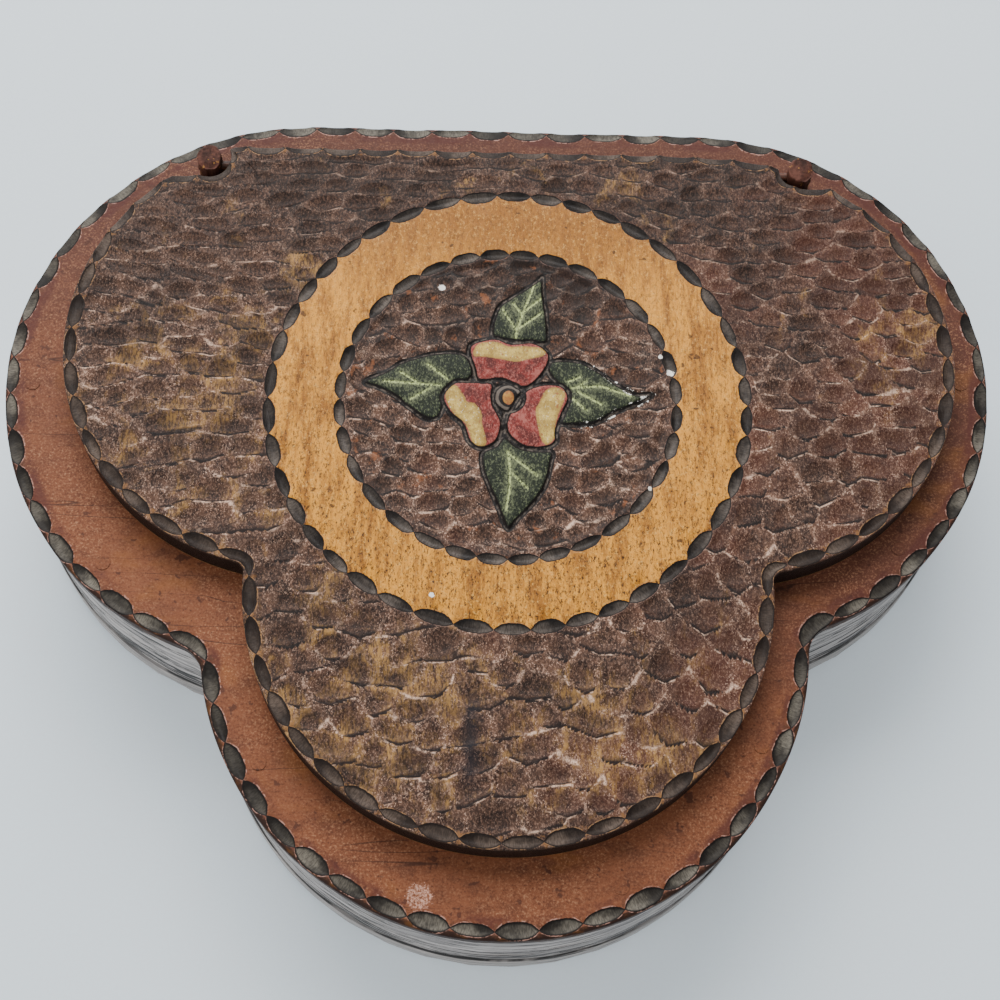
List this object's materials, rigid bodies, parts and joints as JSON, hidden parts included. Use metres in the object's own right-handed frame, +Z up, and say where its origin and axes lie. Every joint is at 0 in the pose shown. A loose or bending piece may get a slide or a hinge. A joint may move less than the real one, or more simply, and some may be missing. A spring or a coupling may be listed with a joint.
{
  "type": "lidded box",
  "caption": "Trefoil birch bark box with a straight back, a nicked wooden rim and a carved, painted wooden lid that hinges on pins between whittled posts.",
  "frame": {"origin": "on the underside of the bottom board, straight below the centre of the lid's round medallion", "axes": "+X to the right, +Y towards the straight hinged back, +Z up"},
  "size_m": [0.181, 0.1563, 0.0398],
  "materials": {
    "bottom_wood": "satin",
    "wall_wood": "satin",
    "rim_wood": "satin",
    "lid_wood": "satin",
    "peg_wood": "satin",
    "post_wood": "satin",
    "pin_wood": "satin",
    "bark": "satin"
  },
  "bodies": {
    "box": {"bottom_board": "bottom_wood", "inner_wall": "wall_wood", "bark_wrap": "bark", "rim_board": "rim_wood", "rim_pegs": "peg_wood", "bottom_pegs": "peg_wood", "left_hinge_post": "post_wood", "right_hinge_post": "post_wood", "left_hinge_pin": "pin_wood", "right_hinge_pin": "pin_wood"},
    "lid": {"lid_board": "lid_wood"}
  },
  "joints": [
    {"name": "lid_hinge", "type": "hinge", "parent": "box", "child": "lid", "pos_m": [0, 0.0504, 0.0362], "axis": [-1, 0, 0], "range_deg": [0, 100]}
  ]
}
